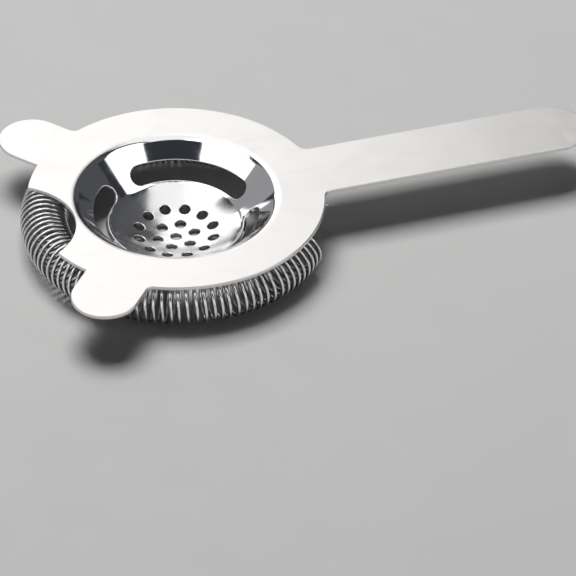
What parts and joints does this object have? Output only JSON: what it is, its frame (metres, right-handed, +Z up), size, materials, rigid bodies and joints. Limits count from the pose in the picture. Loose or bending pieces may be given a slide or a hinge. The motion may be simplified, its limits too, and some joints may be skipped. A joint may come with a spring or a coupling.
{
  "type": "hawthorne strainer",
  "caption": "Bar strainer: flat stainless plate with a handle, prongs and a pierced bowl, and a wire coil spring underneath that seats it in a mixing tin.",
  "frame": {"origin": "centre of the ring on the underside of the plate, the face that rests on a shaker's rim", "axes": "+X along the handle away from the bowl, +Z up out of the bowl, +Y to the left when looking along the handle"},
  "size_m": [0.1629, 0.092, 0.0155],
  "materials": {
    "polished_steel": "polished stainless sheet, satin on the flat and mirror in the bowl",
    "spring_wire": "bright drawn stainless spring wire",
    "strap_steel": "plain stainless strip, spot-welded"
  },
  "bodies": {
    "plate": {"strainer_plate": "polished_steel", "spring_strap_left": "strap_steel", "spring_strap_right": "strap_steel"},
    "spring": {"coil_spring": "spring_wire"}
  },
  "joints": [
    {"name": "gate_slide", "type": "slide", "parent": "plate", "child": "spring", "axis": [1, 0, 0], "range_m": [-0.0025, 0.0025], "stiffness_N_per_m": 2000}
  ]
}
